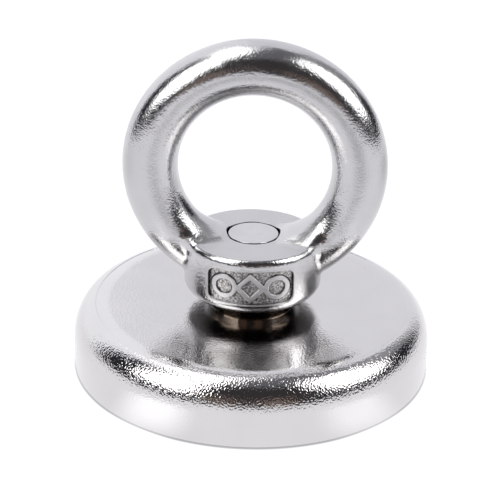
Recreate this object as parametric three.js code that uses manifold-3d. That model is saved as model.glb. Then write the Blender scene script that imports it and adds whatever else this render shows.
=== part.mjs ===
// A round lifting magnet with a cast eye nut: a steel pot holding a ring magnet, a flat-head
// socket screw that passes up through both, and an eye nut screwed onto the end of it.
// Millimetres, +Z up. The origin is the centre of the magnetic face, on which the part stands.

import * as THREE from 'three';
import { mergeVertices } from 'three/addons/utils/BufferGeometryUtils.js';
import Module from 'manifold-3d';

// Pot: a steel cup, open downwards. Its top edge is rounded to part of an ellipse, which meets
// the flat top at a slight angle.
const POT_RADIUS = 30;
const POT_HEIGHT = 11.3;
const POT_WALL = 5;
const POT_PLATE = 4.5;
const TOP_ROUND_ACROSS = 4.3;
const TOP_ROUND_DOWN = 5.9;
const TOP_ROUND_END = 80.6 * Math.PI / 180;
const FOOT_ROUND = 0.5;

// Screw: a flat-head socket screw, M10, head down in the magnet's countersink. Its end is
// turned down to a plain pin.
const SCREW_RADIUS = 4.88;
const SCREW_END_RADIUS = 4.17;
const SCREW_END_LENGTH = 1.05;
const SCREW_TOP = 23.85;
const HEAD_RADIUS = 9.75;
const HEAD_FACE = 0.35;
const HEAD_RIM = 0.5;
const SOCKET_ACROSS_FLATS = 6;
const SOCKET_DEPTH = 3.6;

// Gaps between pieces.
const GLUE_LINE = 0.1;
const RUNNING_GAP = 0.05;
const SHANK_GAP = 0.5;

// Magnet: a sintered ring, glued in and set back from the rim of the cup.
const MAGNET_RADIUS = 24.3;
const MAGNET_FACE = 0.15;
const EPOXY_FACE = 0.5;

// Eye nut: a ring of round bar standing in the XZ plane on a round collar, whose coned
// underside leads in to a short flared foot. The top of its bore is left at drill size.
const RING_RADIUS = 17.23;
const RING_BAR_RADIUS = 4.56;
const RING_CENTRE = 35.87;
const COLLAR_RADIUS = 11.5;
const COLLAR_TOP = SCREW_TOP;
const COLLAR_TOP_ROUND = 1;
const LIP_ROUND = 1.25;
const UNDERSIDE_SLOPE = 0.42;
const UNDERSIDE_START = 12.8;
const FOOT_RADIUS = 7.2;
const FOOT_FLARE = 0.4;
const BORE_MOUTH_RADIUS = 4.4;
const BORE_MOUTH_DEPTH = 0.9;

// Panel on the front of the collar: a shallow recess that holds three raised marks.
const PANEL_WIDTH = 13.9;
const PANEL_HEIGHT = 5.8;
const PANEL_CENTRE = 18.95;
const PANEL_CORNER = 1.3;
const PANEL_DEPTH = 0.5;
const MARK_SPACING = 4.3;
const CIRCLE_RADIUS = 2.14;
const DIAMOND_INNER_RADIUS = 1.9;
const MARK_STROKE = 0.84;
const MARK_HEIGHT = 0.33;

// How finely round shapes are cut into flats.
const POT_SEGMENTS = 72;
const ROUND_SEGMENTS = 48;
const RING_SEGMENTS = 64;
const BAR_SEGMENTS = 20;
const CIRCLE_SIDES = 20;
const ARC_STEPS = 5;

const wasm = await Module();
wasm.setup();

const nickelPlate = { color: 0xc9c6c8, roughness: 0.28, metalness: 1 };
const magnetPlate = { color: 0xb9b8b6, roughness: 0.22, metalness: 1 };
const castStainless = { color: 0xbcbabb, roughness: 0.15, metalness: 1 };
const screwSteel = { color: 0xaaa8a6, roughness: 0.35, metalness: 1 };
const greyEpoxy = { color: 0x3a3a3c, roughness: 0.6, metalness: 0 };

function solid(geometry) {
  const bare = geometry.clone();
  bare.deleteAttribute('normal');
  bare.deleteAttribute('uv');
  const merged = mergeVertices(bare, 1e-5);
  return new wasm.Manifold(new wasm.Mesh({
    numProp: 3,
    vertProperties: new Float32Array(merged.attributes.position.array),
    triVerts: new Uint32Array(merged.index.array),
  }));
}

function geometryOf(manifold) {
  const mesh = manifold.getMesh();
  const geometry = new THREE.BufferGeometry();
  geometry.setAttribute('position', new THREE.BufferAttribute(mesh.vertProperties, 3));
  geometry.setIndex(new THREE.BufferAttribute(mesh.triVerts, 1));
  geometry.computeVertexNormals();
  return geometry;
}

function piece(name, geometry, look) {
  const mesh = new THREE.Mesh(geometry, new THREE.MeshStandardMaterial(look));
  mesh.name = name;
  return mesh;
}

// Turns a closed outline of [radius, height] points about the Z axis. The outline runs
// up the outside of the shape and back down its inside.
function turned(outline, segments) {
  const points = outline.map(([radius, height]) => new THREE.Vector2(radius, height));
  return new THREE.LatheGeometry(points, segments).rotateX(Math.PI / 2);
}

function closed(outline) {
  return [...outline, outline[0]];
}

// A quarter or shorter stretch of an ellipse, as points from angle start to angle end.
function arc([radius, height], across, up, start, end) {
  const points = [];
  for (let step = 0; step <= ARC_STEPS; step += 1) {
    const angle = start + (end - start) * step / ARC_STEPS;
    points.push([radius + across * Math.cos(angle), height + up * Math.sin(angle)]);
  }
  return points;
}

function potCup() {
  const cavity = POT_RADIUS - POT_WALL;
  const ceiling = POT_HEIGHT - POT_PLATE;
  const hole = SCREW_RADIUS + SHANK_GAP;
  const foot = arc([POT_RADIUS - FOOT_ROUND, FOOT_ROUND], FOOT_ROUND, FOOT_ROUND, -Math.PI / 2, 0);
  const rise = TOP_ROUND_DOWN * Math.sin(TOP_ROUND_END);
  const shoulder = [POT_RADIUS - TOP_ROUND_ACROSS, POT_HEIGHT - rise];
  const edge = arc(shoulder, TOP_ROUND_ACROSS, TOP_ROUND_DOWN, 0, TOP_ROUND_END);
  const inside = [[hole, POT_HEIGHT], [hole, ceiling], [cavity, ceiling], [cavity, 0]];
  return turned(closed([...foot, ...edge, ...inside]), POT_SEGMENTS);
}

function ringMagnet() {
  const top = POT_HEIGHT - POT_PLATE - GLUE_LINE;
  const hole = SCREW_RADIUS + SHANK_GAP;
  const coneStart = HEAD_RADIUS + 2 * RUNNING_GAP + HEAD_FACE + HEAD_RIM - MAGNET_FACE;
  return turned(closed([
    [coneStart, MAGNET_FACE],
    [MAGNET_RADIUS, MAGNET_FACE],
    [MAGNET_RADIUS, top],
    [hole, top],
    [hole, MAGNET_FACE + coneStart - hole],
  ]), ROUND_SEGMENTS);
}

function epoxyRing() {
  const inner = MAGNET_RADIUS + GLUE_LINE;
  const outer = POT_RADIUS - POT_WALL - GLUE_LINE;
  const top = POT_HEIGHT - POT_PLATE - GLUE_LINE;
  return turned(closed([
    [outer, EPOXY_FACE], [outer, top], [inner, top], [inner, EPOXY_FACE],
  ]), POT_SEGMENTS);
}

function centreScrew() {
  const neck = HEAD_FACE + HEAD_RIM + HEAD_RADIUS - SCREW_RADIUS;
  const pinBottom = SCREW_TOP - SCREW_END_LENGTH;
  const chamfer = SCREW_RADIUS - SCREW_END_RADIUS;
  const blank = turned([
    [0, HEAD_FACE],
    [HEAD_RADIUS, HEAD_FACE],
    [HEAD_RADIUS, HEAD_FACE + HEAD_RIM],
    [SCREW_RADIUS, neck],
    [SCREW_RADIUS, pinBottom - chamfer],
    [SCREW_END_RADIUS, pinBottom],
    [SCREW_END_RADIUS, SCREW_TOP],
    [0, SCREW_TOP],
  ], ROUND_SEGMENTS);
  const cornerRadius = SOCKET_ACROSS_FLATS / 2 / Math.cos(Math.PI / 6);
  const socket = new THREE.CylinderGeometry(cornerRadius, cornerRadius, 2 * SOCKET_DEPTH, 6);
  socket.rotateX(Math.PI / 2).translate(0, 0, HEAD_FACE);
  return geometryOf(solid(blank).subtract(solid(socket)));
}

// Height of the collar's coned underside at that radius.
function undersideHeight(radius) {
  return UNDERSIDE_START + (radius - FOOT_RADIUS) * UNDERSIDE_SLOPE;
}

// The collar with its foot, before the ring is joined on and the bore is cut.
function collar() {
  const round = COLLAR_TOP_ROUND;
  const roundCentre = [COLLAR_RADIUS - round, COLLAR_TOP - round];
  const lipRadius = COLLAR_RADIUS - LIP_ROUND;
  const lipDrop = LIP_ROUND * Math.hypot(1, UNDERSIDE_SLOPE);
  const lipCentre = [lipRadius, undersideHeight(lipRadius) + lipDrop];
  const lipStart = Math.atan2(-1, UNDERSIDE_SLOPE);
  const neck = UNDERSIDE_START - POT_HEIGHT;
  const flare = FOOT_FLARE * neck / (1 - FOOT_FLARE * UNDERSIDE_SLOPE);
  const footTop = FOOT_RADIUS + flare;
  return turned([
    [0, POT_HEIGHT],
    [FOOT_RADIUS, POT_HEIGHT],
    [footTop, undersideHeight(footTop)],
    ...arc(lipCentre, LIP_ROUND, LIP_ROUND, lipStart, 0),
    ...arc(roundCentre, round, round, 0, Math.PI / 2),
    [0, COLLAR_TOP],
  ], ROUND_SEGMENTS);
}

function roundedPanel(width, height, corner) {
  const x = width / 2;
  const y = height / 2;
  const shape = new THREE.Shape();
  shape.moveTo(-x + corner, -y);
  shape.lineTo(x - corner, -y);
  shape.absarc(x - corner, -y + corner, corner, -Math.PI / 2, 0);
  shape.lineTo(x, y - corner);
  shape.absarc(x - corner, y - corner, corner, 0, Math.PI / 2);
  shape.lineTo(-x + corner, y);
  shape.absarc(-x + corner, y - corner, corner, Math.PI / 2, Math.PI);
  shape.lineTo(-x, -y + corner);
  shape.absarc(-x + corner, -y + corner, corner, Math.PI, 1.5 * Math.PI);
  return shape;
}

// An outline of even stroke: a regular figure with that many sides, a circle when many. Its
// inner radius runs from the centre to the middle of a side.
function outlineMark(centre, sides, innerRadius) {
  const ring = new THREE.Shape();
  const hollow = new THREE.Path();
  for (const [path, toSide] of [[ring, innerRadius], [hollow, innerRadius - MARK_STROKE]]) {
    const radius = toSide / Math.cos(Math.PI / sides);
    for (let corner = 0; corner < sides; corner += 1) {
      const angle = Math.PI / 2 + 2 * Math.PI * corner / sides;
      const x = centre + radius * Math.cos(angle);
      const y = radius * Math.sin(angle);
      if (corner === 0) {
        path.moveTo(x, y);
      } else {
        path.lineTo(x, y);
      }
    }
    path.closePath();
  }
  ring.holes.push(hollow);
  return ring;
}

// Pushes a flat shape through the front wall of the collar, facing -Y.
function throughFront(shape) {
  const geometry = new THREE.ExtrudeGeometry(shape, {
    depth: COLLAR_RADIUS, bevelEnabled: false, curveSegments: ARC_STEPS,
  });
  return geometry.rotateX(Math.PI / 2).translate(0, -RING_BAR_RADIUS, PANEL_CENTRE);
}

function drum(radius) {
  const bottom = UNDERSIDE_START;
  const top = COLLAR_TOP + PANEL_HEIGHT;
  return solid(turned([[0, bottom], [radius, bottom], [radius, top], [0, top]], ROUND_SEGMENTS));
}

function eyeNut() {
  const ring = new THREE.TorusGeometry(RING_RADIUS, RING_BAR_RADIUS, BAR_SEGMENTS, RING_SEGMENTS);
  ring.rotateX(Math.PI / 2).translate(0, 0, RING_CENTRE);
  const floor = COLLAR_RADIUS - PANEL_DEPTH;
  const panel = solid(throughFront(roundedPanel(PANEL_WIDTH, PANEL_HEIGHT, PANEL_CORNER)));
  let nut = solid(collar()).add(solid(ring));
  nut = nut.subtract(panel.subtract(drum(floor)));
  const markDrum = drum(floor + MARK_HEIGHT);
  const marks = [
    outlineMark(-MARK_SPACING, CIRCLE_SIDES, CIRCLE_RADIUS),
    outlineMark(0, 4, DIAMOND_INNER_RADIUS),
    outlineMark(MARK_SPACING, CIRCLE_SIDES, CIRCLE_RADIUS),
  ];
  for (const mark of marks) {
    nut = nut.add(solid(throughFront(mark)).intersect(markDrum));
  }
  const bore = SCREW_RADIUS + RUNNING_GAP;
  const mouthBottom = COLLAR_TOP - BORE_MOUTH_DEPTH;
  const drill = turned([
    [0, POT_HEIGHT - 1],
    [bore, POT_HEIGHT - 1],
    [bore, mouthBottom],
    [BORE_MOUTH_RADIUS, mouthBottom],
    [BORE_MOUTH_RADIUS, COLLAR_TOP + 1],
    [0, COLLAR_TOP + 1],
  ], ROUND_SEGMENTS);
  return geometryOf(nut.subtract(solid(drill)));
}

const group = new THREE.Group();
group.add(
  piece('pot_cup', potCup(), nickelPlate),
  piece('ring_magnet', ringMagnet(), magnetPlate),
  piece('epoxy_ring', epoxyRing(), greyEpoxy),
  piece('centre_screw', centreScrew(), screwSteel),
  piece('eye_nut', eyeNut(), castStainless),
);

export default group;
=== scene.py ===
"""The looks of the lifting magnet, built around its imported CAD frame.

Shapes are worked out in millimetres and become metres when a mesh is made. The eye nut is a
casting, so it comes from one distance field, in which its ring, collar and panel run together;
the other pieces are outlines turned about the Z axis. The front of the magnet faces -Y.
"""

import math

import bpy
import numpy as np
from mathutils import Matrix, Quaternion, Vector

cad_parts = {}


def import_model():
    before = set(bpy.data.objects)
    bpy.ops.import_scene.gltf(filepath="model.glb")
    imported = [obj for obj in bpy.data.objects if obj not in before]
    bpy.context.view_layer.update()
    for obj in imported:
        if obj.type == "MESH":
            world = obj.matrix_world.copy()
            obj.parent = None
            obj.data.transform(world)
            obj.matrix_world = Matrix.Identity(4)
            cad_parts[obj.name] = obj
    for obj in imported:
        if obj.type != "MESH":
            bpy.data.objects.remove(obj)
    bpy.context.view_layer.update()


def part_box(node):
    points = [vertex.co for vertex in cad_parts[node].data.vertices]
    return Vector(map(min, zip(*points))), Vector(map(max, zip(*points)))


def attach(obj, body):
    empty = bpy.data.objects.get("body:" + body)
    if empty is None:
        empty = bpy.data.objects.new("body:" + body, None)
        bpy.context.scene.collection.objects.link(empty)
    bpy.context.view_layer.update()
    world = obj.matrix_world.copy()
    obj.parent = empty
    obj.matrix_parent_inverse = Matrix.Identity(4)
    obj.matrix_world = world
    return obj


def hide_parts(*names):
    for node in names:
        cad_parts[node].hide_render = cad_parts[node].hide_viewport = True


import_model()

MM = 0.001


def box_mm(node):
    """Lowest and highest corner of a CAD node, in millimetres."""
    return [np.array(corner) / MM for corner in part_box(node)]


POT_HIGH = box_mm("pot_cup")[1]
MAGNET_LOW, MAGNET_HIGH = box_mm("ring_magnet")
EPOXY_LOW, EPOXY_HIGH = box_mm("epoxy_ring")
SCREW_LOW, SCREW_HIGH = box_mm("centre_screw")
EYE_LOW, EYE_HIGH = box_mm("eye_nut")

TURNED_SEGMENTS = 256
CLEARANCE = 0.1

# Pot: the rounded edge is part of an ellipse, up to ROUND_END degrees, with a crease after it
POT_RADIUS = POT_HIGH[0]
POT_TOP = POT_HIGH[2]
ROUND_ACROSS = 4.3
ROUND_DOWN = 5.9
ROUND_END = 80.6
CREASE_OUTER = 0.06
CREASE_INNER = 0.1
CREASE_DEPTH = 0.05
POT_FOOT_ROUND = 0.5
CAVITY_RADIUS = EPOXY_HIGH[0] + CLEARANCE
CAVITY_CEILING = MAGNET_HIGH[2] + CLEARANCE
CAVITY_CHAMFER = 0.25
SHANK_HOLE = 5.38

# Ring magnet
MAGNET_ROUND = 0.35
MAGNET_CHAMFER = 0.1

# Screw, M10 by 1.5. The edges of crest and root are shares of half the pitch from the crest
PITCH = 1.5
THREAD_CREST = 4.88
THREAD_ROOT = 4.08
THREAD_ROOT_EDGE = 0.75
THREAD_CREST_EDGE = 0.125
THREAD_START = 7.4
SCREW_SEGMENTS = 192
SCREW_ROW_STEP = 0.09
SCREW_END_FACE = 4.17
SCREW_END_CHAMFER = 0.03
THREAD_BELOW_MOUTH = 0.15
SCREW_TOP = SCREW_HIGH[2]
HEAD_RADIUS = SCREW_HIGH[0]
HEAD_FACE = SCREW_LOW[2]
HEAD_ROUND = 0.2
HEAD_RIM = 0.5
SOCKET_FLAT = 3.0
SOCKET_DEPTH = 3.6
SOCKET_CHAMFER = 0.3
SOCKET_POINT = 1.0
SOCKET_REACH = 3.6

# Eye nut
RING_OUTER = EYE_HIGH[0]
BAR_RADIUS = 4.56
RING_RADIUS = RING_OUTER - BAR_RADIUS
RING_CENTRE = EYE_HIGH[2] - RING_OUTER
RING_FILLET = 0.6
RING_FILLET_MORE_ON_TOP = 1.8
COLLAR_RADIUS = EYE_HIGH[1]
COLLAR_TOP = SCREW_TOP
RIM_SQUEEZE = 0.65
RIM_ROUNDING = 0.85
RIM_ROUNDING_MORE_AT_BACK = 1.2
LIP_ROUNDING = 1.25
UNDERSIDE_SLOPE = 0.42
FOOT_BOTTOM = EYE_LOW[2]
FOOT_TOP = 12.8
FOOT_RADIUS = 7.2
FOOT_FLARE = 0.40
FOOT_ROUNDING = 0.1
FOOT_FILLET = 0.2
THREAD_GAP = 0.12
THREAD_EASING = 0.8
BORE_CHAMFER = 0.7
BORE_MOUTH = 4.5
MOUTH_DEPTH = 0.9
BORE_ABOVE_COLLAR = 0.6

# Panel on the collar's front, and the painted dark line below it
PAINTED_LINE_HEIGHT = 15.62
PANEL_HALF = (6.95, 2.9)
PANEL_CENTRE = 18.95
PANEL_CORNER = 1.3
PANEL_DEPTH = 0.5
PANEL_FLOOR_ROUNDING = 0.1
PANEL_EDGE_ROUNDING = 0.16
MARK_SPACING = 4.3
MARK_RADIUS = 1.72
MARK_DIAMOND_RADIUS = MARK_RADIUS * 0.86
MARK_HALF_STROKE = 0.42
MARK_HEIGHT = 0.33
MARK_ROOT = 3
MARK_ROUNDING = 0.12

# Camera: it aims at a point on the magnet's axis and is then moved right and up in its own view
CAMERA_AZIMUTH = 1.66
CAMERA_ELEVATION = 25.19
CAMERA_DISTANCE = 327.2
CAMERA_ROLL = 1.27
LENS = 140.6
AIM_HEIGHT = 20
AIM_RIGHT = -0.50
AIM_UP = 0.61

# Studio, with the floor in metres
FLOOR_HALF_SIZE = 0.6
FLOOR_DROP = 0.00002
WHITE = (1.0, 1.0, 1.0)
DARK = (0.03, 0.03, 0.037)
HAND = (0.24, 0.18, 0.155)
CARD_COLUMNS = 16
CARD_ROWS = 12


def fade(value, zero, one):
    """0 where the value is at zero, 1 where it is at one, straight between and held beyond."""
    return np.clip((value - zero) / (one - zero), 0, 1)


# ---------------------------------------------------------------- meshes

def make_piece(name, points_mm, faces, body, node, material, sharp_degrees=32):
    """A named mesh piece that rides on a body and stands for a CAD node."""
    mesh = bpy.data.meshes.new(name)
    mesh.from_pydata((np.asarray(points_mm) * MM).tolist(), [], faces)
    mesh.validate()
    mesh.polygons.foreach_set("use_smooth", [True] * len(mesh.polygons))
    if sharp_degrees:
        mesh.set_sharp_from_angle(angle=math.radians(sharp_degrees))
    mesh.materials.append(material)
    piece = bpy.data.objects.new(name, mesh)
    bpy.context.scene.collection.objects.link(piece)
    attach(piece, body)
    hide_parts(node)
    return piece


def paint(piece, name, values):
    """A number for each point, for the material to read."""
    attribute = piece.data.attributes.new(name, "FLOAT", "POINT")
    attribute.data.foreach_set("value", np.asarray(values, dtype=np.float32))


def around(segments):
    """The angle of each segment of a turned shape, in radians."""
    return np.arange(segments) * 2 * math.pi / segments


def turned(rows, segments):
    """Points and faces of a shape turned about Z. A row is (radius, height), each a number or
    one value for each segment; a row of radius 0 becomes a single point."""
    points, faces, starts = [], [], []
    angles = around(segments)
    for radius, height in rows:
        is_tip = np.max(radius) == 0
        starts.append((len(points), is_tip))
        count = 1 if is_tip else segments
        radii = np.broadcast_to(radius, (segments,))[:count]
        heights = np.broadcast_to(height, (segments,))[:count]
        for angle, r, z in zip(angles, radii, heights):
            points.append((r * math.cos(angle), r * math.sin(angle), z))
    neighbours = [(i, (i + 1) % segments) for i in range(segments)]
    for (first, first_is_tip), (second, second_is_tip) in zip(starts, starts[1:]):
        for i, j in neighbours:
            if first_is_tip:
                faces.append((first, second + j, second + i))
            elif second_is_tip:
                faces.append((first + i, first + j, second))
            else:
                faces.append((first + i, first + j, second + j, second + i))
    return points, faces


def turned_ring(rows):
    """Points and faces of a closed outline turned about Z."""
    points, faces = turned([*rows, rows[0]], TURNED_SEGMENTS)
    count = len(points) - TURNED_SEGMENTS
    faces = [tuple(v - count if v >= count else v for v in face) for face in faces]
    return points[:count], faces


def arc(centre, across, up, start, end, steps):
    """Rows along part of an ellipse, from angle start to angle end in degrees."""
    angles = np.radians(np.linspace(start, end, steps + 1))
    return [(centre[0] + across * math.cos(a), centre[1] + up * math.sin(a)) for a in angles]


def round_corner(outer, bottom, size, steps):
    """Rows round an outer bottom corner, from its underside to its side."""
    return arc((outer - size, bottom + size), size, size, -90, 0, steps)


# ---------------------------------------------------------------- threads

def thread_depth(height, angle):
    """From 0 at the root to 1 at the crest of a right-hand thread."""
    turn = ((height - COLLAR_TOP) / PITCH - angle / (2 * math.pi) + 0.5) % 1.0
    from_crest = np.abs(turn - 0.5) * 2
    return fade(from_crest, THREAD_ROOT_EDGE, THREAD_CREST_EDGE)


def screw_thread_radius(height, angle):
    return THREAD_ROOT + (THREAD_CREST - THREAD_ROOT) * thread_depth(height, angle)


# ---------------------------------------------------------------- turned pieces

def pot_cup(material):
    end = math.radians(ROUND_END)
    shoulder = (POT_RADIUS - ROUND_ACROSS, POT_TOP - ROUND_DOWN * math.sin(end))
    crease = shoulder[0] + ROUND_ACROSS * math.cos(end) - CREASE_OUTER
    side_steps = np.linspace(POT_FOOT_ROUND, shoulder[1], 6)[1:-1]
    flat_steps = np.linspace(crease - CREASE_INNER, SHANK_HOLE, 10)
    rows = [
        *round_corner(POT_RADIUS, 0, POT_FOOT_ROUND, 8),
        *[(POT_RADIUS, height) for height in side_steps],
        *arc(shoulder, ROUND_ACROSS, ROUND_DOWN, 0, ROUND_END, 40),
        (crease, POT_TOP - CREASE_DEPTH),
        *[(radius, POT_TOP) for radius in flat_steps],
        (SHANK_HOLE, CAVITY_CEILING),
        (CAVITY_RADIUS, CAVITY_CEILING),
        (CAVITY_RADIUS, CAVITY_CHAMFER),
        (CAVITY_RADIUS + CAVITY_CHAMFER, 0),
    ]
    points, faces = turned_ring(rows)
    piece = make_piece("pot_cup_visual", points, faces, "magnet_body", "pot_cup",
                       material)
    x, y, z = np.array(points).T
    past_crease = fade(np.hypot(x, y), crease - 0.05, crease + 0.45)
    paint(piece, "grain", past_crease * fade(z, shoulder[1] - 0.6, shoulder[1] + 1.4))
    return piece


def ring_magnet(material):
    """A flat ring, countersunk from below for the screw's head."""
    radius = MAGNET_HIGH[0]
    bottom, top = MAGNET_LOW[2], MAGNET_HIGH[2]
    cone = HEAD_RADIUS + HEAD_FACE + HEAD_RIM + CLEARANCE - bottom
    rows = [
        (cone + MAGNET_CHAMFER, bottom),
        *round_corner(radius, bottom, MAGNET_ROUND, 6),
        (radius, top),
        (SHANK_HOLE, top),
        (SHANK_HOLE, bottom + cone - SHANK_HOLE),
        (cone - MAGNET_CHAMFER, bottom + MAGNET_CHAMFER),
    ]
    points, faces = turned_ring(rows)
    return make_piece("ring_magnet_visual", points, faces, "magnet_body", "ring_magnet",
                      material)


def epoxy_ring(material):
    """Resin poured round the magnet: it clings to both walls, and its face between them is a
    little hollow and uneven."""
    inner, outer = MAGNET_HIGH[0] + 0.05, CAVITY_RADIUS - 0.02
    middle = (inner + outer) / 2
    face, top = EPOXY_LOW[2], EPOXY_HIGH[2]
    angles = around(TURNED_SEGMENTS)
    ripple = 0.05 * np.sin(9 * angles) + 0.04 * np.sin(23 * angles + 1.3)
    rows = [
        (outer, face - 0.12),
        (outer, top),
        (inner, top),
        (inner, face - 0.1),
        (inner + 0.12, face + 0.04 + ripple * 0.5),
        (middle, face + 0.1 + ripple),
        (outer - 0.12, face + 0.03 + ripple * 0.5),
    ]
    points, faces = turned_ring(rows)
    return make_piece("epoxy_ring_visual", points, faces, "magnet_body", "epoxy_ring",
                      material)


def screw_head_rows(angles):
    """From the point of the hexagon socket, over the head's face, to the end of its cone."""
    to_flat = (angles + math.pi / 6) % (math.pi / 3) - math.pi / 6
    hexagon = SOCKET_FLAT / np.cos(to_flat)
    floor = HEAD_FACE + SOCKET_DEPTH
    return [
        (0.0, floor + SOCKET_POINT),
        (SOCKET_FLAT * 0.85, floor + 0.15),
        (hexagon, floor),
        (hexagon, HEAD_FACE + SOCKET_CHAMFER),
        (np.maximum(hexagon, SOCKET_FLAT + SOCKET_CHAMFER), HEAD_FACE),
        *[(radius, HEAD_FACE) for radius in np.linspace(4.2, HEAD_RADIUS - HEAD_ROUND, 6)[:-1]],
        *round_corner(HEAD_RADIUS, HEAD_FACE, HEAD_ROUND, 5),
        (HEAD_RADIUS, HEAD_FACE + HEAD_RIM),
        (THREAD_CREST, HEAD_FACE + HEAD_RIM + HEAD_RADIUS - THREAD_CREST),
    ]


def screw_thread_rows(angles, start):
    """From a height up to the screw's end. The thread runs in over its first turn, and a
    chamfer takes it down to the end face."""
    chamfer_end = SCREW_TOP - MOUTH_DEPTH - THREAD_BELOW_MOUTH
    rows = []
    for height in np.arange(start, SCREW_TOP, SCREW_ROW_STEP):
        depth = fade(height, THREAD_START, THREAD_START + PITCH)
        radius = THREAD_CREST + (screw_thread_radius(height, angles) - THREAD_CREST) * depth
        chamfer = SCREW_END_FACE + max(0, chamfer_end - height)
        rows.append((np.minimum(radius, chamfer), height))
    return rows


def centre_screw(material):
    """Head down, from the point of its socket to the end face flush with the collar."""
    angles = around(SCREW_SEGMENTS)
    head = screw_head_rows(angles)
    rows = [
        *head,
        *screw_thread_rows(angles, head[-1][1] + 0.1),
        (SCREW_END_FACE, SCREW_TOP - SCREW_END_CHAMFER),
        (SCREW_END_FACE - SCREW_END_CHAMFER, SCREW_TOP),
        (3.2, SCREW_TOP),
        (0.0, SCREW_TOP),
    ]
    points, faces = turned(rows, SCREW_SEGMENTS)
    piece = make_piece("centre_screw_visual", points, faces, "screw", "centre_screw",
                       material)
    x, y, height = np.array(points).T
    # Painted shade: the thread, hidden in the eye nut's bore except at the collar's top, is painted
    # dark, and the socket's inside a little less so.
    in_socket = (np.hypot(x, y) < SOCKET_REACH) * (height > HEAD_FACE + 0.2)
    in_socket = in_socket * (height < THREAD_START)
    on_thread = (height > THREAD_START) * (height < SCREW_TOP - 0.05)
    paint(piece, "shade_in_thread_and_socket", np.maximum(on_thread, 0.6 * in_socket))
    return piece


# ---------------------------------------------------------------- the eye nut's distance field

def join(a, b, fillet):
    """Union of two distance fields, with a fillet where they meet."""
    u, v = np.maximum(fillet - a, 0), np.maximum(fillet - b, 0)
    return np.maximum(fillet, np.minimum(a, b)) - np.hypot(u, v)


def common(a, b, rounding):
    """Intersection of two distance fields, with its edge rounded."""
    u, v = np.maximum(rounding + a, 0), np.maximum(rounding + b, 0)
    return np.minimum(-rounding, np.maximum(a, b)) + np.hypot(u, v)


def panel_field(x, z):
    """Distance to the panel's outline, a rectangle with round corners."""
    across = np.abs(x) - PANEL_HALF[0] + PANEL_CORNER
    up = np.abs(z - PANEL_CENTRE) - PANEL_HALF[1] + PANEL_CORNER
    outside = np.hypot(np.maximum(across, 0), np.maximum(up, 0))
    return outside + np.minimum(np.maximum(across, up), 0) - PANEL_CORNER


def marks_field(x, z):
    """Distance to the three raised outlines: a ring, a diamond and a ring."""
    up = z - PANEL_CENTRE
    left = np.abs(np.hypot(x + MARK_SPACING, up) - MARK_RADIUS)
    right = np.abs(np.hypot(x - MARK_SPACING, up) - MARK_RADIUS)
    diamond = np.abs((np.abs(x) + np.abs(up)) / math.sqrt(2) - MARK_DIAMOND_RADIUS)
    return np.minimum(np.minimum(left, right), diamond) - MARK_HALF_STROKE


def ring_field(x, y, z):
    along = np.hypot(x, z - RING_CENTRE) - RING_RADIUS
    return np.hypot(along, y) - BAR_RADIUS


def collar_field(y, z, radius):
    """The collar: a drum with a rounded rim, rounded more at the back, whose coned underside
    leads in to a short foot."""
    at_back = fade(y / np.maximum(radius, 1e-6), -1, 1)
    rounding = RIM_ROUNDING + RIM_ROUNDING_MORE_AT_BACK * at_back**2
    drum = common(radius - COLLAR_RADIUS, (z - COLLAR_TOP) * RIM_SQUEEZE, rounding)
    cone = FOOT_TOP + (radius - FOOT_RADIUS) * UNDERSIDE_SLOPE - z
    drum = common(drum, cone / math.hypot(1, UNDERSIDE_SLOPE), LIP_ROUNDING)
    wall = radius - FOOT_RADIUS - (z - FOOT_BOTTOM) * FOOT_FLARE
    foot = common(wall, np.maximum(FOOT_BOTTOM - z, z - FOOT_TOP - 1), FOOT_ROUNDING)
    return join(drum, foot, FOOT_FILLET)


def with_panel(field, x, y, z, radius):
    """A field with the panel sunk in its front, and the marks raised on the panel's floor."""
    floor = COLLAR_RADIUS - PANEL_DEPTH
    recess = common(np.maximum(panel_field(x, z), y), floor - radius, PANEL_FLOOR_ROUNDING)
    field = common(field, -recess, PANEL_EDGE_ROUNDING)
    face = np.maximum(radius - floor - MARK_HEIGHT, y)
    marks = common(marks_field(x, z), face, MARK_ROUNDING)
    marks = np.maximum(marks, COLLAR_RADIUS - MARK_ROOT - radius)
    return join(field, marks, MARK_ROUNDING)


def bore_field(x, y, z, radius):
    """The threaded bore, chamfered at the foot, with a plain mouth in the collar's top. A
    thread's field climbs faster than the distance, so it is eased."""
    thread = screw_thread_radius(z, np.arctan2(y, x)) + THREAD_GAP
    thread = np.maximum(thread, BORE_MOUTH + BORE_CHAMFER - (z - FOOT_BOTTOM))
    threaded = np.maximum(radius - thread, z - COLLAR_TOP + MOUTH_DEPTH)
    bore = np.minimum(threaded, radius - BORE_MOUTH)
    return THREAD_EASING * np.maximum(bore, z - COLLAR_TOP - BORE_ABOVE_COLLAR)


def eye_field(points):
    """Signed distance to the eye nut's surface, in millimetres, negative inside. The fillet
    between ring and collar is wide on top of the collar, except close to the bore."""
    x, y, z = points[..., 0], points[..., 1], points[..., 2]
    radius = np.hypot(x, y)
    on_top = fade(z, 21.5, 24.5) * fade(radius, 4, 6.2)
    fillet = RING_FILLET + RING_FILLET_MORE_ON_TOP * on_top
    field = join(ring_field(x, y, z), collar_field(y, z, radius), fillet)
    field = with_panel(field, x, y, z, radius)
    return np.maximum(field, -bore_field(x, y, z, radius))


# ---------------------------------------------------------------- from a field to a mesh

def grid_lines(*stretches):
    """Places along one axis, from (start, end, step) stretches that follow each other."""
    lines = [np.linspace(a, b, max(1, round((b - a) / s)), endpoint=False) for a, b, s in stretches]
    return np.concatenate([*lines, [stretches[-1][1]]])


def gradient(field, points):
    """The slope of a field at each point."""
    step = 0.004
    slopes = []
    for axis in range(3):
        move = np.zeros(3)
        move[axis] = step
        slopes.append((field(points + move) - field(points - move)) / (2 * step))
    return np.stack(slopes, axis=-1)


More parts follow.
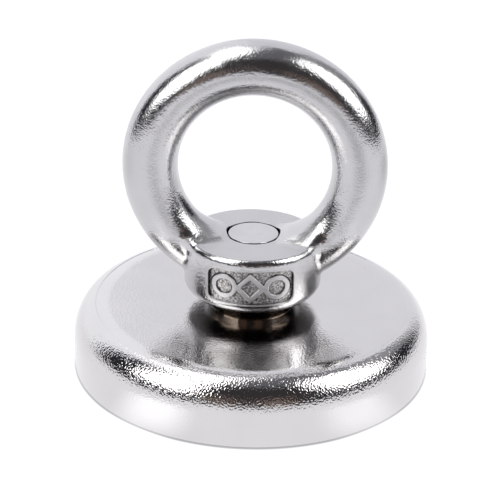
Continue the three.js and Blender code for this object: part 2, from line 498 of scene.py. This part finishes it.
def crossings(values, lines, axis):
    """The grid edges along one axis that a field's zero surface crosses: the grid place where
    each starts, the point where it is crossed, and whether it starts inside."""
    low = np.moveaxis(values, axis, 0)[:-1]
    high = np.moveaxis(values, axis, 0)[1:]
    found = np.argwhere((low < 0) != (high < 0))
    at_start, at_end = low[tuple(found.T)], high[tuple(found.T)]
    share = at_start / (at_start - at_end)
    place = np.empty_like(found)
    place[:, [axis] + [i for i in range(3) if i != axis]] = found
    point = np.stack([lines[i][place[:, i]] for i in range(3)], axis=-1)
    start, end = lines[axis][place[:, axis]], lines[axis][place[:, axis] + 1]
    point[:, axis] = start + share * (end - start)
    return place, point, at_start < 0


def surface_net(field, lines):
    """Points and quads of a field's zero surface: one point in each grid cell that it crosses,
    and one quad round each grid edge that it crosses."""
    values = field(np.stack(np.meshgrid(*lines, indexing="ij"), axis=-1))
    cells = tuple(n - 1 for n in values.shape)
    total, count, quads = np.zeros((math.prod(cells), 3)), np.zeros(math.prod(cells)), []
    for axis in range(3):
        place, point, starts_inside = crossings(values, lines, axis)
        corners = []
        for back_second, back_third in ((1, 1), (0, 1), (0, 0), (1, 0)):
            cell = place.copy()
            cell[:, (axis + 1) % 3] -= back_second
            cell[:, (axis + 2) % 3] -= back_third
            flat = np.ravel_multi_index(cell.T, cells)
            corners.append(flat)
            for i in range(3):
                total[:, i] += np.bincount(flat, point[:, i], len(total))
            count += np.bincount(flat, minlength=len(count))
        quad = np.stack(corners, axis=-1)
        quads.append(np.where(starts_inside[:, None], quad, quad[:, ::-1]))
    used = np.flatnonzero(count)
    renumber = np.full(len(count), -1)
    renumber[used] = np.arange(len(used))
    return total[used] / count[used, None], renumber[np.concatenate(quads)]


def onto_surface(field, points, rounds=4, reach=0.25):
    """Moves points onto a field's zero surface along its slope, and gives its slope there."""
    for _ in range(rounds):
        slope = gradient(field, points)
        away = field(points) / np.maximum((slope**2).sum(-1), 0.2)
        points = points - np.clip(away, -reach, reach)[:, None] * slope
    slope = gradient(field, points)
    return points, slope / np.linalg.norm(slope, axis=-1)[:, None]


# ---------------------------------------------------------------- the eye nut

def eye_grid():
    """Grid lines across, deep and up: close together at the panel, the rim and the thread, and
    wide apart on the smooth ring."""
    fine, medium, coarse = 0.14, 0.3, 0.55
    panel_side = PANEL_HALF[0] + 0.7
    collar_side = 12
    ring_side = RING_OUTER + 0.9
    across = grid_lines((-ring_side, -collar_side, coarse), (-collar_side, -panel_side, medium),
                        (-panel_side, panel_side, fine), (panel_side, collar_side, medium),
                        (collar_side, ring_side, coarse))
    collar_front = -COLLAR_RADIUS - 0.4
    behind_panel = -8.2
    bore_side = 5.4
    deep = grid_lines((collar_front, behind_panel, fine), (behind_panel, -bore_side, medium),
                      (-bore_side, bore_side, 0.16), (bore_side, -collar_front, medium))
    above_collar = COLLAR_TOP + 0.5
    above_fillet = 28
    up = grid_lines((FOOT_BOTTOM - 0.4, above_collar, fine), (above_collar, above_fillet, medium),
                    (above_fillet, EYE_HIGH[2] + 0.7, coarse))
    return across, deep, up


def paint_eye_nut(piece, points, normals):
    """Paints the painted shade under the collar and on the foot, the painted brown of the foot's
    front, the panel, the painted shade in crevices and on a line below the panel, and the duller
    places.
    """
    x, y, z = points.T
    radius = np.hypot(x, y)
    off_bottom = z > FOOT_BOTTOM + 0.05
    # Painted shade: faces turned down under the collar, and all of the foot, are painted nearly
    # black, a little less so from 8.5 to 10 mm out.
    shade_under_collar = (z < FOOT_TOP + 3) * off_bottom * fade(-normals[:, 2], 0.68, 0.83)
    shade_under_collar = np.maximum(shade_under_collar, (z < FOOT_TOP + 0.7) * off_bottom)
    paint(piece, "underside", shade_under_collar * (1 - 0.11 * fade(radius, 8.5, 10)))
    # Painted light: the foot's front is painted brown, a painted tint for its brown reflections,
    # fading out between 48 and 58 degrees from the front; the foot's sides keep the painted shade.
    from_front = np.degrees(np.abs(np.arctan2(x, -y)))
    on_foot = fade(z, FOOT_TOP + 0.15, FOOT_TOP - 0.05) * (radius < 9)
    paint(piece, "foot", on_foot * fade(from_front, 58, 48))
    paint(piece, "flat", (z > COLLAR_TOP - 0.02) * fade(z, COLLAR_TOP + 0.9, COLLAR_TOP))

    front = (y < 0) * (radius > BORE_MOUTH + 2)
    panel = panel_field(x, z)
    above_floor = radius - COLLAR_RADIUS + PANEL_DEPTH
    sunk = front * (panel < 0.05) * fade(above_floor, 0.25, 0.13)
    paint(piece, "panel", sunk * fade(panel, 0, -0.1))
    round_panel = front * fade(panel, 0.8, 0.3)
    paint(piece, "satin", round_panel * (1 - sunk) * (z > PAINTED_LINE_HEIGHT + 0.15))

    # Painted shade: darker along the panel's outline, thinner at its bottom edge, round the marks'
    # feet and in the bore's thread; and a painted dark line just below the panel, where the wall
    # meets the lip, standing in for that edge's dark reflection.
    at_panel_bottom = z < PANEL_CENTRE - PANEL_HALF[1] + 0.5
    to_outline = np.abs(panel) + 0.12 * at_panel_bottom
    to_edge = np.minimum(to_outline, np.abs(marks_field(x, z)))
    in_thread = (radius < THREAD_CREST + THREAD_GAP + 0.1) * (z < COLLAR_TOP - 0.05)
    painted_line = front * (radius > COLLAR_RADIUS - 0.9) * fade(np.abs(x), 6, 4)
    painted_line = painted_line * fade(np.abs(z - PAINTED_LINE_HEIGHT), 0.18, 0.06)
    painted_shade = np.maximum(sunk * fade(to_edge, 0.18, 0.06), in_thread)
    paint(piece, "painted_shade", np.maximum(painted_shade, painted_line))


def eye_nut(material):
    points, quads = surface_net(eye_field, eye_grid())
    points, normals = onto_surface(eye_field, points)
    piece = make_piece("eye_nut_visual", points, quads.tolist(), "eye", "eye_nut",
                       material, sharp_degrees=None)
    piece.data.normals_split_custom_set_from_vertices(normals)
    paint_eye_nut(piece, points, normals)
    return piece


# ---------------------------------------------------------------- materials

class Nodes:
    """A material's node tree, with short ways to add and join nodes."""

    def __init__(self, name):
        self.material = bpy.data.materials.new(name)
        self.material.use_nodes = True
        self.tree = self.material.node_tree
        self.shader = self.tree.nodes["Principled BSDF"]

    def add(self, kind, **settings):
        node = self.tree.nodes.new(kind)
        for key, value in settings.items():
            setattr(node, key, value)
        return node

    def link(self, output, socket):
        self.tree.links.new(output, socket)

    def position(self):
        return self.add("ShaderNodeTexCoord").outputs["Object"]

    def noise(self, size_mm, detail=2.0, roughness=0.5):
        """Noise whose features are about that many millimetres across."""
        node = self.add("ShaderNodeTexNoise", noise_dimensions="3D")
        node.inputs["Scale"].default_value = 1 / (size_mm * MM)
        node.inputs["Detail"].default_value = detail
        node.inputs["Roughness"].default_value = roughness
        self.link(self.position(), node.inputs["Vector"])
        return node.outputs["Fac"]

    def painted(self, name):
        """What paint() gave to the points under that name."""
        return self.add("ShaderNodeAttribute", attribute_name=name).outputs["Fac"]

    def ramp(self, value, low, high, start=0.0, end=1.0):
        """The value, mapped from low..high to start..end."""
        node = self.add("ShaderNodeMapRange", clamp=True)
        node.inputs["From Min"].default_value = low
        node.inputs["From Max"].default_value = high
        node.inputs["To Min"].default_value = start
        node.inputs["To Max"].default_value = end
        self.link(value, node.inputs["Value"])
        return node.outputs["Result"]

    def math(self, operation, a, b):
        """An operation on two values, each a socket or a number."""
        node = self.add("ShaderNodeMath", operation=operation)
        for socket, value in zip(node.inputs, (a, b)):
            if isinstance(value, (int, float)):
                socket.default_value = value
            else:
                self.link(value, socket)
        return node.outputs["Value"]

    def bump(self, height, height_mm, under=None):
        """A bump whose full height is that many millimetres, on top of another."""
        node = self.add("ShaderNodeBump")
        node.inputs["Distance"].default_value = height_mm * MM
        node.inputs["Strength"].default_value = 1.0
        self.link(height, node.inputs["Height"])
        if under is not None:
            self.link(under, node.inputs["Normal"])
        return node.outputs["Normal"]

    def blend(self, share, first, second):
        """A mix of two colours, each a socket or three numbers."""
        node = self.add("ShaderNodeMix", data_type="RGBA")
        for socket, colour in ((node.inputs["A"], first), (node.inputs["B"], second)):
            if isinstance(colour, tuple):
                socket.default_value = (*colour, 1)
            else:
                self.link(colour, socket)
        self.link(share, node.inputs["Factor"])
        return node.outputs["Result"]

    def finish(self, colour, rough, normal):
        """Links the shader's colour, roughness and normal, and gives the material."""
        self.link(colour, self.shader.inputs["Base Color"])
        self.link(rough, self.shader.inputs["Roughness"])
        self.link(normal, self.shader.inputs["Normal"])
        return self.material


def metal(name, low, high):
    """A metal's nodes, and its colour, which drifts a little between two tints."""
    nodes = Nodes(name)
    nodes.shader.inputs["Metallic"].default_value = 1.0
    return nodes, nodes.blend(nodes.ramp(nodes.noise(7, 3), 0.35, 0.65), low, high)


def nickel_plate():
    """Plating over pressed steel, with a fine orange peel. The rounded edge is brighter, and
    the peel is deeper there."""
    nodes, colour = metal("nickel_plate", (0.665, 0.65, 0.645), (0.685, 0.67, 0.665))
    grain = nodes.painted("grain")
    rough = nodes.ramp(nodes.noise(1.5, 3), 0.3, 0.7, 0.09, 0.13)
    rough = nodes.math("SUBTRACT", rough, nodes.math("MULTIPLY", grain, 0.08))
    peel_mm = nodes.ramp(grain, 0, 1, 0.026, 0.064)
    peel = nodes.math("MULTIPLY", nodes.noise(0.3, 0.6), peel_mm)
    return nodes.finish(colour, rough, nodes.bump(peel, 1.0))


def magnet_nickel():
    """Plating over sintered powder, a little scuffed."""
    nodes, colour = metal("magnet_nickel", (0.60, 0.59, 0.57), (0.66, 0.65, 0.64))
    rough = nodes.ramp(nodes.noise(0.8, 4), 0.3, 0.75, 0.16, 0.34)
    return nodes.finish(colour, rough, nodes.bump(nodes.noise(0.4, 3), 0.02))


def cast_stainless():
    """A polished casting: bright, slightly wavy, with a faint pebble. The underside of its collar
    and its foot have painted shade, nearly black, but the foot's front is painted brown, a painted
    tint for its reflections, and is smoother.
    Its panel is mottled and rougher, its crevices and a line below the panel have painted shade,
    and the collar is duller on top and round the panel."""
    nodes, colour = metal("cast_stainless", (0.565, 0.56, 0.565), (0.595, 0.59, 0.595))
    mottled = nodes.blend(nodes.ramp(nodes.noise(0.3, 2.0, 0.7), 0.4, 0.6),
                          (0.15, 0.145, 0.14), (0.60, 0.59, 0.585))
    # Painted shade under the collar and on the foot, nearly black.
    colour = nodes.blend(nodes.painted("underside"), colour, (0.022, 0.018, 0.015))
    # Painted light: the foot's front is painted brown, a painted tint for its reflections.
    colour = nodes.blend(nodes.painted("foot"), colour, (0.34, 0.275, 0.22))
    colour = nodes.blend(nodes.painted("panel"), colour, mottled)
    # Painted shade in the crevices and in the thread, and a painted dark line below the panel.
    colour = nodes.blend(nodes.painted("painted_shade"), colour, (0.07, 0.065, 0.06))
    rough = nodes.ramp(nodes.noise(0.9, 3), 0.3, 0.7, 0.13, 0.20)
    for place, more in (("panel", 0.12), ("flat", 0.15), ("satin", 0.17), ("foot", -0.13)):
        rough = nodes.math("ADD", rough, nodes.math("MULTIPLY", nodes.painted(place), more))
    waves = nodes.bump(nodes.noise(3.2, 1.0), 0.06)
    pebble_mm = nodes.ramp(nodes.noise(5.0, 1.0), 0.4, 0.62, 0.03, 0.055)
    panel_mm = nodes.ramp(nodes.painted("panel"), 0, 1, 0, 0.09)
    off_foot = nodes.ramp(nodes.painted("foot"), 0, 1, 1, 0)
    height_mm = nodes.math("MULTIPLY", nodes.math("MAXIMUM", pebble_mm, panel_mm), off_foot)
    pebble = nodes.math("MULTIPLY", nodes.noise(0.31, 1.0, 0.6), height_mm)
    return nodes.finish(colour, rough, nodes.bump(pebble, 1.0, waves))


def screw_steel():
    """Smooth stainless bar, with painted shade in its thread and socket."""
    nodes, bare = metal("screw_steel", (0.60, 0.595, 0.60), (0.66, 0.655, 0.66))
    # Painted shade: dark in the thread and in the socket.
    colour = nodes.blend(nodes.painted("shade_in_thread_and_socket"), bare, (0.08, 0.07, 0.06))
    rough = nodes.ramp(nodes.noise(0.6, 3), 0.3, 0.7, 0.12, 0.2)
    return nodes.finish(colour, rough, nodes.bump(nodes.noise(0.25, 2), 0.006))


def grey_epoxy():
    """Poured resin, dark grey and a little cloudy."""
    nodes = Nodes("grey_epoxy")
    colour = nodes.blend(nodes.noise(1.2, 3), (0.03, 0.03, 0.033), (0.06, 0.06, 0.065))
    rough = nodes.ramp(nodes.noise(0.7, 2), 0.3, 0.7, 0.35, 0.6)
    return nodes.finish(colour, rough, nodes.bump(nodes.noise(0.5, 3), 0.04))


# ---------------------------------------------------------------- studio

def glow(name, colour, strength):
    """The nodes of a material that only gives light."""
    nodes = Nodes(name)
    nodes.shader.inputs["Base Color"].default_value = (0, 0, 0, 1)
    nodes.shader.inputs["Specular IOR Level"].default_value = 0.0
    nodes.shader.inputs["Emission Color"].default_value = (*colour, 1)
    nodes.shader.inputs["Emission Strength"].default_value = strength
    return nodes


def direction(azimuth, elevation):
    """A unit vector, with azimuth in degrees from -Y towards +X."""
    a, e = math.radians(azimuth), math.radians(elevation)
    return Vector((math.sin(a) * math.cos(e), -math.cos(a) * math.cos(e), math.sin(e)))


def card(name, azimuths, elevations, distance, colour, strength=1.0, turn=0.0):
    """A glowing sheet, curved round the object, that is only seen in reflections. A card hides
    those that stand behind it. Below 35 degrees its second side turns away, by that many
    degrees of azimuth at an elevation of 10."""
    points = []
    for elevation in np.linspace(*elevations, CARD_ROWS + 1):
        end = azimuths[1] + turn * max(0.0, (35 - elevation) / 25)
        for azimuth in np.linspace(azimuths[0], end, CARD_COLUMNS + 1):
            points.append(direction(azimuth, elevation) * distance)
    faces = []
    for row in range(CARD_ROWS):
        for column in range(CARD_COLUMNS):
            first = row * (CARD_COLUMNS + 1) + column
            above = first + CARD_COLUMNS + 1
            faces.append((first, first + 1, above + 1, above))
    mesh = bpy.data.meshes.new(name)
    mesh.from_pydata(points, [], faces)
    mesh.materials.append(glow(name, colour, strength).material)
    sheet = bpy.data.objects.new(name, mesh)
    bpy.context.scene.collection.objects.link(sheet)
    sheet.visible_camera = False
    sheet.visible_shadow = False


def floor_light(nodes, azimuth, distance_mm, reach_mm, extra, full_mm=None):
    """More or less light from the floor round one spot: full up to full_mm, or a fifth of
    reach_mm, and none from reach_mm."""
    full_mm = full_mm or 0.2 * reach_mm
    spot = nodes.add("ShaderNodeVectorMath", operation="DISTANCE")
    nodes.link(nodes.position(), spot.inputs[0])
    spot.inputs[1].default_value = direction(azimuth, 0) * distance_mm * MM
    change = nodes.ramp(spot.outputs["Value"], full_mm * MM, reach_mm * MM, extra, 0.0)
    change.node.interpolation_type = "SMOOTHSTEP"
    return change


def floor():
    """A white sheet. It gives more light in two spots close to the pot's front, less farther in
    front and to the sides, and less under the pot, which shows as a thin line round its foot."""
    size = FLOOR_HALF_SIZE
    corners = [(-size, -size, 0), (size, -size, 0), (size, size, 0), (-size, size, 0)]
    mesh = bpy.data.meshes.new("floor")
    mesh.from_pydata(corners, [], [(0, 1, 2, 3)])
    nodes = glow("floor_white", (0.99, 0.985, 1.02), 1.0)
    left = floor_light(nodes, -35.5, 38.5, 13, 0.50)
    right = floor_light(nodes, 44.5, 37, 13, 0.32)
    front = floor_light(nodes, 10, 140, 92, -0.42)
    aside_left = floor_light(nodes, -95, 150, 95, -0.12)
    aside_right = floor_light(nodes, 112, 150, 95, -0.26)
    under = floor_light(nodes, 0, 0, POT_RADIUS + 0.25, -0.55, POT_RADIUS - 0.2)
    light = 1.04
    for change in (left, right, front, aside_left, aside_right, under):
        light = nodes.math("ADD", light, change)
    nodes.link(light, nodes.shader.inputs["Emission Strength"])
    mesh.materials.append(nodes.material)
    plane = bpy.data.objects.new("floor", mesh)
    plane.location.z = -FLOOR_DROP
    bpy.context.scene.collection.objects.link(plane)


def world():
    """A pale surround, for what no card stands in front of."""
    surround = bpy.data.worlds.new("surround")
    surround.use_nodes = True
    surround.node_tree.nodes["Background"].inputs["Color"].default_value = (0.93, 0.935, 0.99, 1)
    bpy.context.scene.world = surround


def camera():
    """A long lens, above and almost straight in front."""
    data = bpy.data.cameras.new("camera")
    data.lens = LENS
    data.sensor_width = 36.0
    data.clip_start = 0.02
    data.clip_end = 20
    view = bpy.data.objects.new("camera", data)
    bpy.context.scene.collection.objects.link(view)
    back = direction(CAMERA_AZIMUTH, CAMERA_ELEVATION)
    turn = (-back).to_track_quat("-Z", "Y")
    shift = turn @ Vector((AIM_RIGHT, AIM_UP, 0))
    view.rotation_mode = "QUATERNION"
    view.rotation_quaternion = turn @ Quaternion((0, 0, 1), math.radians(CAMERA_ROLL))
    view.location = (Vector((0, 0, AIM_HEIGHT)) + shift) * MM + back * CAMERA_DISTANCE * MM
    bpy.context.scene.camera = view


camera()
world()
floor()
card("softbox_left", (-76, -33), (15.5, 61), 0.8, WHITE, 3.2)
card("softbox_top", (-148, -29), (61, 84), 0.8, WHITE, 2.5)
card("softbox_right", (98, 50), (17, 62), 0.8, WHITE, 3.2, turn=12)
card("wall_left", (-172, -112), (0, 58), 1.1, (1.12, 1.13, 1.18))
card("hand_left", (-25, -9), (2, 20), 0.9, HAND)
card("hand_right", (9, 27), (2, 19), 0.9, HAND)
card("gap_low", (-106, 134), (-5, 11), 1.0, DARK)
card("gap_left", (-107, -70), (0, 42), 1.0, DARK)
card("gap_right", (96, 128), (0, 26), 1.0, DARK)
card("gap_front", (-32, 48), (0, 56), 1.0, (0.046, 0.042, 0.044))
card("gap_high", (-106, 70), (0, 89), 1.1, (0.15, 0.15, 0.165))
card("wall_right", (70, 140), (0, 66), 1.1, (0.36, 0.36, 0.38))
card("ceiling_right", (60, 165), (65, 89.5), 1.0, (0.17, 0.17, 0.185))

pot_cup(nickel_plate())
ring_magnet(magnet_nickel())
epoxy_ring(grey_epoxy())
centre_screw(screw_steel())
eye_nut(cast_stainless())

bpy.context.scene.view_settings.view_transform = "Standard"
